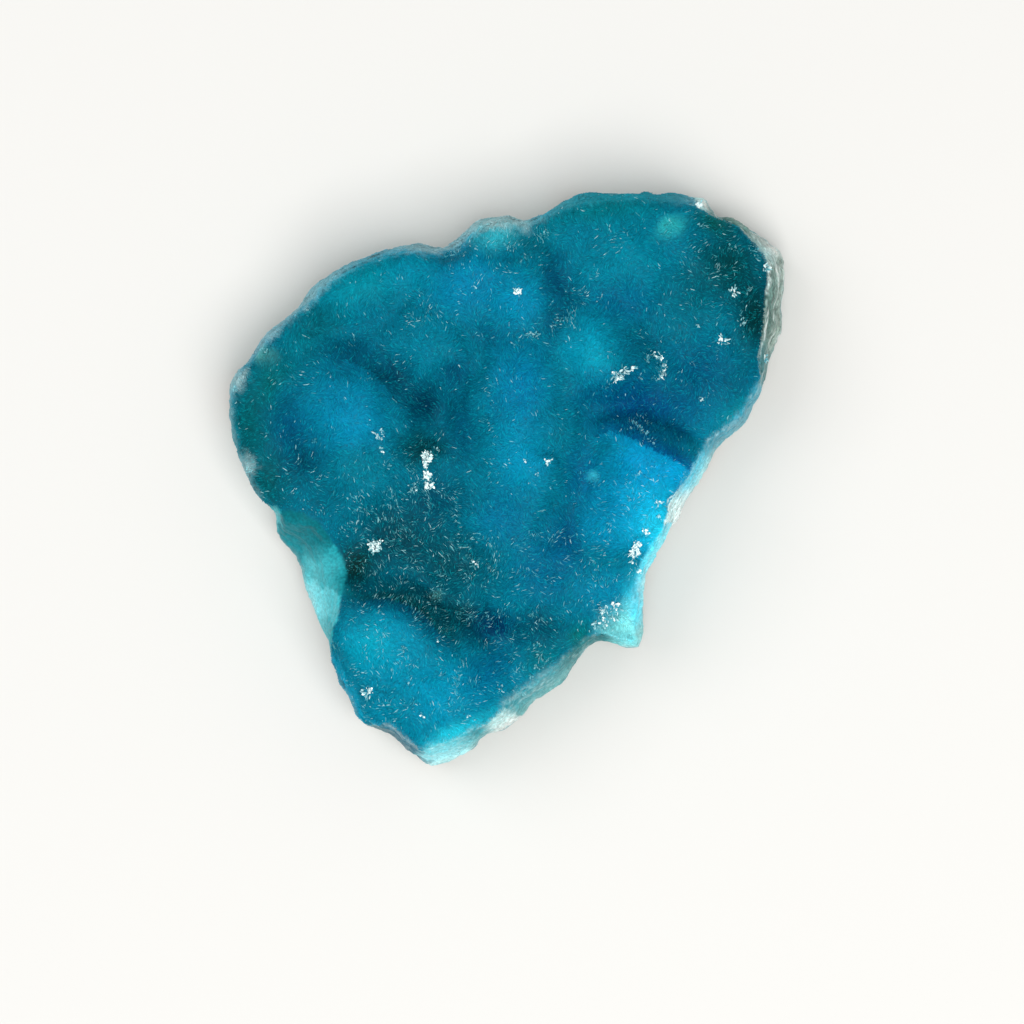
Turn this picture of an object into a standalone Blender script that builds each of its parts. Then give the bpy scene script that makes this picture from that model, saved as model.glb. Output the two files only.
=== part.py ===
"""A hand specimen of blue hemimorphite: one lumpy crust, about 51 by 53 mm, broken off its rock.

The stone lies on its broken back with the grown face up. Seen from above, the far side is a
rounded growth edge and the near and right sides are breaks, which slope out below the crust.
Lists give millimetres from the stone's middle: +X to the right, +Y away, +Z up from the back.
"""

import math

import bmesh
import bpy
import numpy as np
from mathutils import Matrix, Vector, noise

# Driving dimensions, in millimetres
MM = 0.001
FLOOR_OF_CRUST = 7.0
GROWTH_FOOT = 2.7
BREAK_FOOT = 3.1
BREAK_TOP = 9.6
GROWTH_ROUND = 3.6
UNDERCUT = 1.5
UNDERCUT_REACH = 5.0
LEAST_WALL = 1.1
LAND_SNAP = 0.15
LAYER_HEIGHT = 2.9
LAYER_STEP = 0.7
SCAR_REACH = 5.0

# How finely the stone is worked, and how many triangles it keeps
BLANK_THICKNESS = 4.0
BLANK_CELL = 0.5
STONE_CELL = 0.42
STONE_TRIANGLES = 7400
SEED = 11

BLUE = (0.006, 0.19, 0.33, 1.0)

# The edge, clockwise from the left tip. Each point is x, y and how wide the sloping break
# below the crust shows from above; a width of 0 is a rounded growth edge.
LEFT_AND_FAR_GROWTH = [
    (-25.8, 8.0, 0), (-25.6, 8.9, 0), (-24.7, 10.3, 0), (-23.4, 11.5, 0), (-22.7, 12.8, 0),
    (-21.6, 14.0, 0), (-20.9, 14.7, 0), (-19.3, 15.4, 0), (-19.0, 16.2, 0), (-17.7, 17.9, 0),
    (-16.0, 18.8, 0), (-15.0, 19.9, 0), (-13.5, 20.4, 0), (-11.0, 21.2, 0), (-9.4, 21.6, 0),
    (-8.1, 21.6, 0), (-6.7, 21.3, 0), (-5.6, 21.3, 0), (-4.7, 21.9, 0), (-3.8, 22.9, 0),
    (-2.4, 23.9, 0), (-0.8, 24.2, 0), (0.4, 24.1, 0), (1.5, 23.9, 0), (2.6, 24.2, 0),
    (4.0, 25.1, 0), (6.1, 26.0, 0), (8.7, 26.4, 0), (12.2, 26.5, 0), (15.0, 26.2, 0),
    (17.2, 25.9, 0), (18.1, 25.8, 0), (18.4, 25.1, 0),
]
RIGHT_BREAK = [
    (18.8, 24.5, 0.5), (20.7, 24.2, 0.7), (22.2, 23.5, 0.9), (23.6, 22.5, 1.2), (24.8, 21.3, 1.7),
    (25.5, 20.1, 2.0), (25.8, 18.1, 2.1), (25.5, 16.0, 2.1), (25.3, 14.6, 2.0), (24.8, 12.8, 1.8),
    (24.3, 11.0, 1.4), (24.0, 9.2, 1.0), (23.8, 8.3, 0.8), (22.7, 6.7, 0.6), (22.2, 6.0, 0.6),
]
NEAR_RIGHT_BREAK = [
    (22.4, 5.6, 0.7), (21.1, 4.2, 1.0), (19.3, 2.8, 1.1), (18.4, 1.0, 1.1), (17.5, -0.8, 1.3),
    (16.4, -2.9, 1.5), (15.7, -4.1, 1.2), (15.2, -4.3, 0.5), (14.3, -5.6, 0.4), (13.3, -7.5, 0.5),
    (12.7, -9.7, 0.6), (12.7, -12.5, 0.6), (12.5, -14.3, 0.5), (12.3, -15.8, 0.5),
]
NEAR_BREAK = [
    (10.8, -15.6, 0.8), (8.7, -15.0, 0.8), (7.7, -15.2, 0.8), (6.5, -16.6, 1.0), (5.0, -18.6, 1.6),
    (2.9, -20.5, 1.9), (1.5, -21.6, 2.0), (0.8, -22.5, 1.6), (-1.0, -23.7, 1.6), (-2.1, -23.9, 1.4),
    (-2.8, -25.0, 1.8), (-4.2, -25.7, 2.0), (-6.0, -26.1, 2.0), (-7.5, -26.5, 1.6), (-8.8, -25.7, 1.3),
    (-9.9, -24.6, 1.2), (-11.0, -23.4, 0.8),
]
NEAR_LEFT_GROWTH = [
    (-12.7, -23.0, 0), (-14.0, -22.1, 0), (-14.4, -20.7, 0), (-14.5, -20.0, 0), (-15.4, -18.6, 0),
    (-16.2, -16.8, 0), (-16.4, -15.0, 0.3),
]
LEFT_SCAR = [
    (-17.4, -13.8, 1.5), (-18.1, -11.8, 2.8), (-18.7, -10.4, 3.7), (-19.0, -8.6, 4.1),
    (-19.9, -6.8, 3.8), (-21.1, -5.6, 2.6), (-21.6, -4.7, 1.8), (-21.5, -3.3, 0.8),
]
LEFT_GROWTH = [(-22.7, -1.8, 0), (-23.7, -0.4, 0), (-24.9, 2.1, 0), (-25.6, 5.0, 0)]
EDGE = (
    LEFT_AND_FAR_GROWTH + RIGHT_BREAK + NEAR_RIGHT_BREAK + NEAR_BREAK
    + NEAR_LEFT_GROWTH + LEFT_SCAR + LEFT_GROWTH
)

# The lumps of the crust: x, y, height of the top, how broad it is along and across its
# heading, the heading in degrees, and how many times steeper it falls away on that side.
LUMPS = [
    # Left third
    (-14.7, 6.8, 12.0, 6.5, 6.0, 0, 1.0),
    (-13.3, 1.6, 10.9, 6.0, 6.0, 0, 1.0),
    (-19.5, 8.0, 9.8, 8.0, 8.0, 0, 1.0),
    (-22.0, 3.5, 8.4, 8.0, 8.0, 0, 1.0),
    (-16.0, -1.8, 9.6, 7.0, 6.0, 0, 1.0),
    # Far edge, left to right
    (-13.4, 17.9, 10.7, 6.5, 5.0, 20, 1.0),
    (-9.3, 19.0, 10.2, 5.0, 5.0, 0, 1.0),
    (-7.1, 12.7, 11.6, 4.6, 4.6, 0, 1.0),
    (-3.6, 18.6, 11.9, 6.0, 5.0, 0, 1.0),
    (0.7, 17.2, 12.1, 5.0, 5.0, 0, 1.0),
    (-0.7, 22.6, 9.4, 3.5, 3.0, 0, 1.0),
    (6.4, 23.4, 9.8, 6.0, 5.0, 20, 1.0),
    (10.7, 20.2, 11.8, 8.0, 8.0, 0, 1.0),
    (14.8, 23.0, 10.9, 5.0, 5.0, 0, 1.0),
    # Right side, falling to the broken rim
    (17.0, 16.6, 10.2, 9.0, 9.0, 0, 1.0),
    (21.4, 19.4, 8.3, 8.0, 9.0, 0, 1.0),
    (19.4, 12.4, 9.9, 8.0, 8.0, 0, 1.0),
    (18.0, 7.2, 8.9, 8.0, 8.0, 0, 1.0),
    (7.7, 12.0, 12.4, 4.6, 4.8, 0, 1.0),
    # The ridge down the middle
    (1.4, 7.8, 12.5, 9.0, 5.2, 90, 1.0),
    (1.6, 1.6, 12.1, 7.0, 5.2, 90, 1.0),
    (0.0, -3.4, 11.4, 6.5, 5.6, 90, 1.0),
    (2.8, -9.0, 10.8, 6.5, 6.0, 90, 1.0),
    # The bright lump at the right, with its steep far side
    (13.0, 2.2, 12.6, 6.0, 6.5, 66, 5.0),
    (12.4, -3.0, 12.2, 9.0, 5.5, 66, 2.0),
    (9.4, -9.8, 10.2, 7.0, 7.0, 0, 1.0),
    (10.9, -13.2, 8.6, 5.0, 5.0, 0, 1.0),
    # The lumps at the near end, with their steep far side
    (-12.8, -12.9, 11.9, 7.0, 6.0, 82, 4.0),
    (-8.8, -13.8, 11.6, 7.0, 5.5, 52, 4.0),
    (-6.0, -20.0, 11.4, 7.0, 6.0, 0, 1.0),
    (-10.2, -19.6, 10.6, 5.0, 5.0, 0, 1.0),
    (-6.2, -23.8, 8.8, 5.0, 5.0, 0, 1.0),
    (3.6, -16.8, 8.7, 6.0, 6.0, 0, 1.0),
    # The sunken middle left
    (-9.0, -5.4, 8.0, 14.0, 12.0, 0, 1.0),
    (-6.0, 0.0, 8.8, 7.0, 7.0, 0, 1.0),
    (-3.6, -6.4, 8.8, 7.0, 7.0, 0, 1.0),
]

# Where larger blades stand in clusters on the crust: x, y, how many, and the cluster's radius.
CLUSTERS = [
    (-7.3, 2.2, 7, 0.8), (-7.2, 0.4, 6, 0.7), (-12.2, -6.1, 7, 0.7), (-12.5, -19.3, 5, 0.6),
    (12.3, -6.5, 8, 0.9), (9.6, -12.3, 8, 0.9), (10.3, 9.4, 5, 0.6), (13.7, 10.5, 6, 0.7),
    (20.6, 17.0, 4, 0.5), (19.3, 12.7, 4, 0.5), (3.8, 1.6, 4, 0.5), (-11.3, 4.1, 4, 0.5),
]
BLADE_HEIGHT = 0.62
BLADE_WIDTH = 0.8
BLADE_DEPTH = 0.45
BLADE_TIP = 0.4
BLADE_ROOT = 0.6
BLADE_LEAN = 0.8


def clear_scene():
    for obj in list(bpy.data.objects):
        bpy.data.objects.remove(obj)


def add_to(collection, obj):
    collection.objects.link(obj)
    return obj


def set_as_evaluated(obj):
    """Gives the object the mesh that its modifiers make, and takes them off."""
    graph = bpy.context.evaluated_depsgraph_get()
    mesh = bpy.data.meshes.new_from_object(obj.evaluated_get(graph))
    obj.modifiers.clear()
    obj.data = mesh


def remesh(obj, cell):
    """Covers the object evenly with squares of this size."""
    modifier = obj.modifiers.new("Even squares", "REMESH")
    modifier.mode = "VOXEL"
    modifier.voxel_size = cell * MM
    set_as_evaluated(obj)


def read_points(mesh):
    points = np.empty(len(mesh.vertices) * 3, np.float32)
    mesh.vertices.foreach_get("co", points)
    return points.reshape(-1, 3).astype(float) / MM


def write_points(mesh, points):
    mesh.vertices.foreach_set("co", (points * MM).astype(np.float32).ravel())
    mesh.update()


def fractal(points, scale, octaves, shift):
    """Smooth noise of about -1 to 1 at each point, with lumps of this many millimetres."""
    offset = Vector((shift, -shift, 0.5 * shift))
    return np.array([
        noise.fractal(Vector(p) / scale + offset, 1.0, 2.0, octaves)
        for p in points
    ])


def at_edge(x, y):
    """Each point's distance from the edge, and the break's width at the nearest edge point."""
    start = np.array(EDGE, float)
    run = np.roll(start, -1, axis=0) - start
    to_x = x[:, None] - start[:, 0]
    to_y = y[:, None] - start[:, 1]
    length_squared = run[:, 0] ** 2 + run[:, 1] ** 2
    along = np.clip((to_x * run[:, 0] + to_y * run[:, 1]) / length_squared, 0, 1)
    gap = np.hypot(to_x - along * run[:, 0], to_y - along * run[:, 1])
    nearest = gap.argmin(axis=1)
    row = np.arange(len(x))
    width = start[nearest, 2] + along[row, nearest] * run[nearest, 2]
    return gap[row, nearest], width


def lump_heights(x, y):
    """The crust's height from its lumps alone: rounded caps that meet in soft valleys."""
    softness = 0.4
    total = np.exp(np.full_like(x, FLOOR_OF_CRUST) / softness)
    for lump_x, lump_y, top, broad, narrow, heading, steep in LUMPS:
        turn = math.radians(heading)
        along = (x - lump_x) * math.cos(turn) + (y - lump_y) * math.sin(turn)
        across = (y - lump_y) * math.cos(turn) - (x - lump_x) * math.sin(turn)
        bend = np.where(along > 0, steep, 1.0) * along**2 / (2 * broad)
        cap = top - bend - across**2 / (2 * narrow)
        total += np.exp(np.maximum(cap, 0) / softness)
    return softness * np.log(total)


def edge_limit(gap, width):
    """How high the stone may stand at this distance from its edge, and how sharply it is cut."""
    broken = np.clip(width / 0.5, 0, 1)
    inward = gap / np.maximum(width, 0.5)
    ledges = 0.05 * np.sin(5 * math.pi * np.clip(inward, 0, 1))
    break_limit = BREAK_FOOT + (BREAK_TOP - BREAK_FOOT) * (inward + ledges)
    rounding = 1 - np.clip(gap / GROWTH_ROUND, 0, 1)
    growth_limit = GROWTH_FOOT + (BREAK_TOP + 3 - GROWTH_FOOT) * np.sqrt(1 - rounding**2)
    growth_limit += np.maximum(gap - GROWTH_ROUND, 0)
    softness = 0.9 - 0.75 * broken
    return growth_limit + (break_limit - growth_limit) * broken, softness


def soft_minimum(a, b, softness):
    """The lower of two heights, with the corner between them rounded."""
    overlap = np.clip(0.5 + 0.5 * (b - a) / softness, 0, 1)
    return b + (a - b) * overlap - softness * overlap * (1 - overlap) * 0.5


def top_heights(x, y):
    gap, width = at_edge(x, y)
    limit, softness = edge_limit(gap, width)
    return soft_minimum(lump_heights(x, y), limit, softness)


def back_heights(x, y, top):
    """The broken back: flat lands to rest on, shallow hollows, and a rim that is cut under."""
    gap, _ = at_edge(x, y)
    rim = UNDERCUT * (1 - np.clip(gap / UNDERCUT_REACH, 0, 1)) ** 2
    flat = np.zeros_like(x)
    hollows = 3.0 * fractal(np.stack([x, y, flat], axis=1), 8.0, 3, 3.7) - 0.2
    return np.minimum(rim + np.clip(hollows, 0, 2.0), top - LEAST_WALL)


def plate_blank(collection):
    """A flat plate with the stone's outline."""
    curve = bpy.data.curves.new("outline", "CURVE")
    curve.dimensions = "2D"
    curve.fill_mode = "BOTH"
    curve.extrude = BLANK_THICKNESS * MM / 2
    spline = curve.splines.new("POLY")
    spline.points.add(len(EDGE) - 1)
    for point, (x, y, _) in zip(spline.points, EDGE):
        point.co = (x * MM, y * MM, 0, 1)
    spline.use_cyclic_u = True
    outline = add_to(collection, bpy.data.objects.new("outline", curve))
    graph = bpy.context.evaluated_depsgraph_get()
    mesh = bpy.data.meshes.new_from_object(outline.evaluated_get(graph))
    bpy.data.objects.remove(outline)
    work = bmesh.new()
    work.from_mesh(mesh)
    bmesh.ops.remove_doubles(work, verts=work.verts, dist=0.001 * MM)
    bmesh.ops.recalc_face_normals(work, faces=work.faces)
    bmesh.ops.translate(work, verts=work.verts, vec=(0, 0, BLANK_THICKNESS * MM / 2))
    work.to_mesh(mesh)
    work.free()
    return add_to(collection, bpy.data.objects.new("hemimorphite_plate", mesh))


def raise_lumps(obj):
    """Lifts the blank's top to the lumps and its underside to the broken back."""
    points = read_points(obj.data)
    x, y = points[:, 0], points[:, 1]
    share = np.clip(points[:, 2] / BLANK_THICKNESS, 0, 1)
    top = top_heights(x, y)
    back = back_heights(x, y, top)
    points[:, 2] = back + (top - back) * share
    write_points(obj.data, points)


def layers(points):
    """The ledges that the crust's growth layers leave on a broken side, here and there."""
    flatter = points * np.array([1.0, 1.0, 0.25])
    height = points[:, 2] + 1.6 * fractal(flatter, 8.0, 2, 5.5)
    rise = (height / LAYER_HEIGHT + 0.3 * np.sin(0.8 * height)) % 1.0
    present = np.clip(0.7 + 2.5 * fractal(flatter, 5.0, 2, 9.4), 0, 1)
    return LAYER_STEP * present * (np.minimum(rise, 3 * (1 - rise)) - 0.4)


def on_scar(points):
    """1 on the smooth curved chip at the left side, falling to 0 around it."""
    x, y = LEFT_SCAR[3][:2]
    away = np.hypot(points[:, 0] - x, (points[:, 1] - y) * 0.55)
    return np.clip((SCAR_REACH - away) / 1.5, 0, 1)


def roughen(obj):
    """Grows small knobs on the crust, splinters the breaks, and keeps the flat lands flat."""
    mesh = obj.data
    points = read_points(mesh)
    normals = np.array([v.normal for v in mesh.vertices])
    gap, width = at_edge(points[:, 0], points[:, 1])
    broken = np.clip(width / 0.5, 0, 1) * np.clip(1.5 - gap / np.maximum(width, 0.5), 0, 1)
    upward = np.clip(normals[:, 2] * 2.5, 0, 1)
    side = np.clip(1.6 - 2 * np.abs(normals[:, 2]), 0, 1)
    crust = upward * (1 - broken)
    knobs = 0.5 * fractal(points, 2.6, 3, 8.1)
    upright = points * np.array([1.0, 1.0, 0.4])
    splinters = 0.26 * fractal(upright, 1.8, 3, 2.3) + 0.4 * fractal(points, 5.0, 2, 6.9)
    rough = (splinters + side * layers(points)) * (1 - 0.85 * on_scar(points))
    push = knobs * crust + rough * (1 - crust)
    land = (normals[:, 2] < -0.9) & (points[:, 2] < LAND_SNAP)
    points += normals * np.where(land, 0, push)[:, None]
    points[land, 2] = 0
    points[:, 2] = np.maximum(points[:, 2], 0)
    write_points(mesh, points)


def thin(obj, triangles):
    """Keeps this many triangles, where the form needs them most."""
    now = sum(len(face.vertices) - 2 for face in obj.data.polygons)
    modifier = obj.modifiers.new("Fewer faces", "DECIMATE")
    modifier.ratio = triangles / now
    set_as_evaluated(obj)


def add_blade(work, root, direction, length, twist):
    """One flat crystal blade with a chisel tip, rooted in the crust."""
    made = bmesh.ops.create_cube(work, size=1.0)["verts"]
    for vert in made:
        tip = vert.co.z > 0
        vert.co.x *= BLADE_WIDTH * MM * (BLADE_TIP if tip else 1.0)
        vert.co.y *= BLADE_DEPTH * MM
        vert.co.z = (length if tip else -BLADE_ROOT) * MM
    turned = direction.to_track_quat("Z", "Y").to_matrix().to_4x4()
    place = Matrix.Translation(root * MM) @ turned @ Matrix.Rotation(twist, 4, "Z")
    bmesh.ops.transform(work, matrix=place, verts=made)


def blade_clusters(collection):
    """All the clusters, as overlapping blades in one mesh that a Boolean then joins."""
    chance = np.random.default_rng(SEED)
    work = bmesh.new()
    for x, y, count, radius in CLUSTERS:
        first = chance.uniform(0, 2 * math.pi)
        for number in range(count):
            angle = first + 2 * math.pi * number / count + chance.uniform(-0.4, 0.4)
            out = radius * math.sqrt(chance.uniform(0.1, 1.0))
            root_x = x + out * math.cos(angle)
            root_y = y + out * math.sin(angle)
            root_z = top_heights(np.array([root_x]), np.array([root_y]))[0]
            lean = BLADE_LEAN * chance.uniform(0.3, 1.0)
            heading = angle + chance.uniform(-1.2, 1.2)
            direction = Vector((lean * math.cos(heading), lean * math.sin(heading), 1)).normalized()
            length = BLADE_HEIGHT * chance.uniform(0.7, 1.15)
            add_blade(work, Vector((root_x, root_y, root_z)), direction, length, chance.uniform(0, 3))
    bmesh.ops.recalc_face_normals(work, faces=work.faces)
    mesh = bpy.data.meshes.new("blades")
    work.to_mesh(mesh)
    work.free()
    blades = add_to(collection, bpy.data.objects.new("blades", mesh))
    blades.hide_render = True
    blades.display_type = "WIRE"
    return blades


def fuse(obj, other):
    """Joins the blades to the stone, as one solid."""
    modifier = obj.modifiers.new("Blades grown on", "BOOLEAN")
    modifier.operation = "UNION"
    modifier.solver = "EXACT"
    modifier.use_self = True
    modifier.object = other
    set_as_evaluated(obj)


def centre_on_back(obj):
    """Puts the origin at the middle of the stone's box, on the plane that it rests on."""
    points = read_points(obj.data)
    points[:, :2] -= (points[:, :2].min(axis=0) + points[:, :2].max(axis=0)) / 2
    points[points[:, 2] < LAND_SNAP, 2] = 0
    write_points(obj.data, points)


def hemimorphite_material():
    material = bpy.data.materials.new("blue hemimorphite")
    material.use_nodes = True
    shader = material.node_tree.nodes["Principled BSDF"]
    shader.inputs["Base Color"].default_value = BLUE
    shader.inputs["Roughness"].default_value = 0.45
    shader.inputs["Metallic"].default_value = 0.0
    return material


def main():
    clear_scene()
    stone_parts = bpy.data.collections.new("hemimorphite")
    helpers = bpy.data.collections.new("shapes joined on")
    bpy.context.scene.collection.children.link(stone_parts)
    bpy.context.scene.collection.children.link(helpers)
    plate = plate_blank(stone_parts)
    remesh(plate, BLANK_CELL)
    raise_lumps(plate)
    remesh(plate, STONE_CELL)
    roughen(plate)
    thin(plate, STONE_TRIANGLES)
    fuse(plate, blade_clusters(helpers))
    centre_on_back(plate)
    plate.data.materials.clear()
    plate.data.materials.append(hemimorphite_material())


main()
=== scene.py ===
import math

import bpy
import numpy as np
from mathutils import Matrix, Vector, noise
from mathutils.kdtree import KDTree


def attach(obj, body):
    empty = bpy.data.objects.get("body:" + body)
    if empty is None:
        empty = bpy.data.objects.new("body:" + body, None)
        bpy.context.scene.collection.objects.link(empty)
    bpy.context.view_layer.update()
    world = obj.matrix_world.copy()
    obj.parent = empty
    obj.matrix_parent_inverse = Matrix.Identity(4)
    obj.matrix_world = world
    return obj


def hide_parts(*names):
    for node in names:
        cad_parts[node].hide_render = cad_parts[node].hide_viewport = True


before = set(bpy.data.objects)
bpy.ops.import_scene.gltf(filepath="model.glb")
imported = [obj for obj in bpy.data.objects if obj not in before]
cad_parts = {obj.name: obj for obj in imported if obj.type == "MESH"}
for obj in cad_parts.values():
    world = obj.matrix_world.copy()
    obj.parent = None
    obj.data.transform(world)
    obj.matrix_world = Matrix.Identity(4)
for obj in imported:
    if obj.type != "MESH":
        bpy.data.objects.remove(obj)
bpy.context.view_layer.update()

# The stone
# One lumpy crust of blue hemimorphite, broken off its rock. Its skin is worked finer from a
# copy of the solid, so it lies where the solid does: the grown face up, the broken back down.

MM = 0.001
MERGE = 0.000001
SKIN_CELL = 0.235
SKIN_SMOOTHING = 4
UNDERSIDE_SLOPE = -0.3
FACETS_KEPT = 0.76
BREAK_FOOT = 2.6


def select_only(obj):
    bpy.ops.object.select_all(action="DESELECT")
    obj.hide_set(False)
    obj.select_set(True)
    bpy.context.view_layer.objects.active = obj


def apply_modifier(obj, name, kind, **settings):
    select_only(obj)
    modifier = obj.modifiers.new(name, kind)
    for setting, value in settings.items():
        setattr(modifier, setting, value)
    bpy.ops.object.modifier_apply(modifier=modifier.name)


def points_of(mesh):
    """The mesh's points in millimetres."""
    points = np.empty(len(mesh.vertices) * 3, np.float32)
    mesh.vertices.foreach_get("co", points)
    return points.reshape(-1, 3).astype(float) / MM


def set_points(mesh, points):
    mesh.vertices.foreach_set("co", (points * MM).astype(np.float32).ravel())
    mesh.update()


def normals_of(mesh):
    normals = np.empty(len(mesh.vertices) * 3, np.float32)
    mesh.vertices.foreach_get("normal", normals)
    return normals.reshape(-1, 3).astype(float)


def fractal(points, scale, octaves, shift):
    """Smooth noise of about -1 to 1 at each point, with lumps of this many millimetres."""
    offset = Vector((shift, -shift, 0.5 * shift))
    return np.array([
        noise.fractal(Vector(p) / scale + offset, 1.0, 2.0, octaves)
        for p in points
    ])


def smooth_step(low, high, value):
    share = np.clip((value - low) / (high - low), 0, 1)
    return share * share * (3 - 2 * share)


def linear(colour):
    """A colour written as six hex digits, as the linear numbers that shaders take."""
    parts = np.array([int(colour[i:i + 2], 16) for i in (0, 2, 4)]) / 255
    return np.where(parts <= 0.04045, parts / 12.92, ((parts + 0.055) / 1.055) ** 2.4)


select_only(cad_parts["hemimorphite_plate"])
bpy.ops.object.duplicate()
stone = bpy.context.view_layer.objects.active
stone.name = "hemimorphite_stone"
stone.data.name = "hemimorphite_stone"
stone.data.materials.clear()
bpy.ops.object.mode_set(mode="EDIT")
bpy.ops.mesh.select_all(action="SELECT")
bpy.ops.mesh.remove_doubles(threshold=MERGE)
bpy.ops.object.mode_set(mode="OBJECT")
apply_modifier(stone, "Even skin", "REMESH", mode="VOXEL", voxel_size=SKIN_CELL * MM)
apply_modifier(stone, "Soften facets", "SMOOTH", factor=0.5, iterations=SKIN_SMOOTHING)
# The hidden underside takes fewer facets
underside = stone.vertex_groups.new(name="underside")
underside.add(np.nonzero(normals_of(stone.data)[:, 2] < UNDERSIDE_SLOPE)[0].tolist(), 1.0, "REPLACE")
apply_modifier(stone, "Fewer facets below", "DECIMATE", ratio=FACETS_KEPT, vertex_group="underside")
stone.vertex_groups.clear()

# Where the crust is broken through, clockwise from the far right: x, y, how wide the broken
# side shows from above, and its colour there. Elsewhere the edge is grown and stays blue.
BROKEN_EDGES = [
    [
        (18.2, 25.4, 0.9, "white"), (18.8, 24.5, 0.5, "grey"), (20.7, 24.2, 0.6, "sage"),
        (22.2, 23.5, 0.9, "sage"), (24.8, 21.3, 1.4, "white"), (25.5, 20.1, 1.7, "rim"),
        (25.8, 18.1, 1.9, "rim"), (25.5, 16.0, 1.9, "layered"), (25.3, 14.6, 1.7, "layered"),
        (24.8, 12.8, 1.5, "layered"), (24.3, 11.0, 1.1, "grey"), (24.0, 9.2, 0.8, "grey"),
        (23.8, 8.3, 1.0, "aqua"), (22.4, 5.6, 1.2, "aqua"), (21.1, 4.2, 1.2, "aqua"),
        (19.3, 2.8, 1.2, "aqua"), (18.4, 1.0, 1.3, "cyan"), (17.5, -0.8, 1.4, "cyan"),
        (16.4, -2.9, 1.7, "frost"), (15.7, -4.1, 1.4, "frost"), (15.2, -4.3, 0.8, "cyan"),
        (14.3, -5.6, 0.7, "bright"), (13.3, -7.5, 0.9, "bright"), (12.7, -9.7, 1.2, "cyan"),
        (12.7, -12.5, 1.4, "bright"), (12.5, -14.3, 1.0, "pale"), (12.3, -15.8, 0.8, "pale"),
        (10.8, -15.6, 0.8, "pale"), (8.7, -15.0, 0.8, "green"), (7.7, -15.2, 0.9, "green"),
        (6.5, -16.6, 1.1, "green"), (5.0, -18.6, 1.6, "sea"), (2.9, -20.5, 1.9, "sea"),
        (1.5, -21.6, 2.0, "sea"), (0.8, -22.5, 1.8, "white"), (-1.0, -23.7, 1.6, "white"),
        (-2.1, -23.9, 1.4, "sea"), (-4.2, -25.7, 2.0, "foam"), (-6.0, -26.1, 2.0, "foam"),
        (-7.5, -26.5, 1.6, "foam"), (-8.8, -25.7, 1.3, "dull"), (-9.9, -24.6, 1.2, "dull"),
        (-11.0, -23.4, 1.0, "dull"), (-12.7, -23.0, 0.5, "grey"),
    ],
    [
        (-16.8, -14.8, 0.8, "scar"), (-17.4, -13.8, 1.7, "scar"), (-18.1, -11.8, 2.9, "milky"),
        (-18.7, -10.4, 3.6, "milky"), (-19.0, -8.9, 4.3, "scar"), (-19.9, -6.8, 3.9, "turquoise"),
        (-21.1, -5.6, 2.7, "turquoise"), (-21.6, -4.7, 1.9, "turquoise"), (-21.5, -3.3, 0.9, "scar"),
    ],
]
# Each colour of a break as it looks under the lights: at its foot, under the crust, and how
# strongly growth layers, a white lip and a glow show there; the glow softens the crust beside it and
# lightens it with painted light
BREAK_COLOURS = {
    "white": ("e8ebe7", "9cd2d3", 0.3, 0.3, 0.5),
    "frost": ("f6fcf8", "bce8ea", 1.0, 0.4, 0.1),
    "sage": ("869e95", "3f736e", 0.7, 0.3, 0.1),
    "rim": ("acc0b8", "5a807a", 1.0, 0.7, 0.0),
    "layered": ("9cb0a6", "27605b", 1.0, 0.3, 0.0),
    "grey": ("7c9792", "2a767e", 0.6, 0.2, 0.2),
    "aqua": ("72acb8", "148ba4", 0.2, 0.1, 0.8),
    "cyan": ("b0f0f4", "22b4d2", 0.2, 0.15, 0.8),
    "bright": ("86e8f6", "44d6ee", 0.1, 0.1, 0.8),
    "pale": ("92d4d4", "74dce2", 0.15, 0.1, 0.5),
    "green": ("538f92", "196f76", 0.2, 0.1, 0.6),
    "sea": ("76b2b2", "1f8e9d", 0.2, 0.15, 1.0),
    "foam": ("b8f0f4", "48c8d8", 0.2, 0.2, 0.8),
    "dull": ("557a85", "196f86", 0.25, 0.2, 0.8),
    "scar": ("66c8d0", "14949f", 0.02, 0.0, 0.0),
    "turquoise": ("1c8b96", "016872", 0.0, 0.0, 0.0),
    "milky": ("92e8f0", "3ab8c4", 0.03, 0.0, 0.0),
}
BREAK_DEPTH = 0.94
# The columns of what is kept for a point of the break: width, two colours, three strengths
WIDTH = 0
FOOT = slice(1, 4)
TOP = slice(4, 7)
LAYERING = 7
LIP = 8
GLOW = 9


def nearest_run(runs, points):
    """The nearest place of the runs to each point: how far off it is, how far along the run it
    lies and whether the point is on its left, 1, or right, -1; and the values kept there."""
    x, y = points[:, 0], points[:, 1]
    least = np.full(len(points), np.inf)
    place = np.zeros((len(points), 3))
    kept = np.zeros((len(points), len(runs[0][0]) - 2))
    for run in runs:
        walked = 0.0
        for start, end in zip(run, run[1:]):
            step = np.array(end[:2]) - np.array(start[:2])
            length = np.hypot(*step)
            along = np.clip(((x - start[0]) * step[0] + (y - start[1]) * step[1]) / length**2, 0, 1)
            gap = np.hypot(x - start[0] - along * step[0], y - start[1] - along * step[1])
            side = np.sign(step[0] * (y - start[1]) - step[1] * (x - start[0]))
            mixed = np.array(start[2:]) + along[:, None] * (np.array(end[2:]) - np.array(start[2:]))
            widths = gap / mixed[:, 0]
            closer = widths < least
            least[closer] = widths[closer]
            place[closer] = np.stack([gap, walked + along * length, side], axis=1)[closer]
            kept[closer] = mixed[closer]
            walked += length
    return place, kept


def break_run(run):
    """The run with each colour's name replaced by its numbers."""
    rows = []
    for x, y, width, name in run:
        foot, top, *strengths = BREAK_COLOURS[name]
        colours = BREAK_DEPTH * np.concatenate([linear(foot), linear(top)])
        rows.append((x, y, width, *colours, *strengths))
    return rows


BREAK_RUNS = [break_run(run) for run in BROKEN_EDGES]
RAG_SIZE = 0.9
RAG_DEPTH = 0.16
CRISP_EDGE = 0.08
SOFT_EDGE = 0.35


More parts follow.
